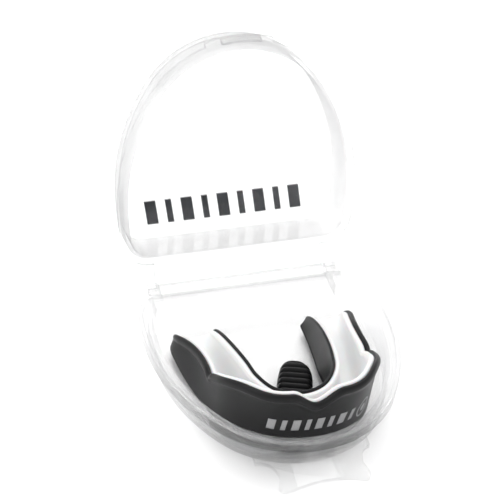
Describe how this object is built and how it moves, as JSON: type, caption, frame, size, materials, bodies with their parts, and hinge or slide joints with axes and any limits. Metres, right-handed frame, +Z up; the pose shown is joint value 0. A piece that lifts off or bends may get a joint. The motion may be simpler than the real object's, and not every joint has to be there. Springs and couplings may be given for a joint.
{
  "type": "mouthguard with case",
  "caption": "Clear plastic D-shaped hinged case, standing open, with a black and white two-layer mouthguard lying in its tray.",
  "frame": {"origin": "On the surface that the tray stands on, under the middle of the case's widest line.", "axes": "+X to the right seen from the latch, +Y from the latch to the hinge, +Z up from the standing surface."},
  "size_m": [0.08, 0.1297, 0.0875],
  "materials": {
    "clear_plastic": "clear glossy moulded polystyrene",
    "black_shell": "black satin moulded elastomer",
    "white_liner": "white soft gel with a slight sheen",
    "dark_print": "dark grey screen print",
    "grey_print": "light grey screen print"
  },
  "bodies": {
    "case_tray": {"tray": "clear_plastic"},
    "case_lid": {"lid": "clear_plastic", "lid_mark": "dark_print"},
    "mouthguard": {"guard_shell": "black_shell", "guard_liner": "white_liner", "shell_mark": "grey_print", "shell_badge": "grey_print"}
  },
  "joints": [
    {"name": "lid_hinge", "type": "hinge", "parent": "case_tray", "child": "case_lid", "pos_m": [0, 0.0288, 0.0074], "axis": [-1, 0, 0], "range_deg": [-103, 0]},
    {"name": "guard_lift", "type": "slide", "parent": "case_tray", "child": "mouthguard", "axis": [0, 0, 1], "range_m": [0, 0.06]}
  ]
}
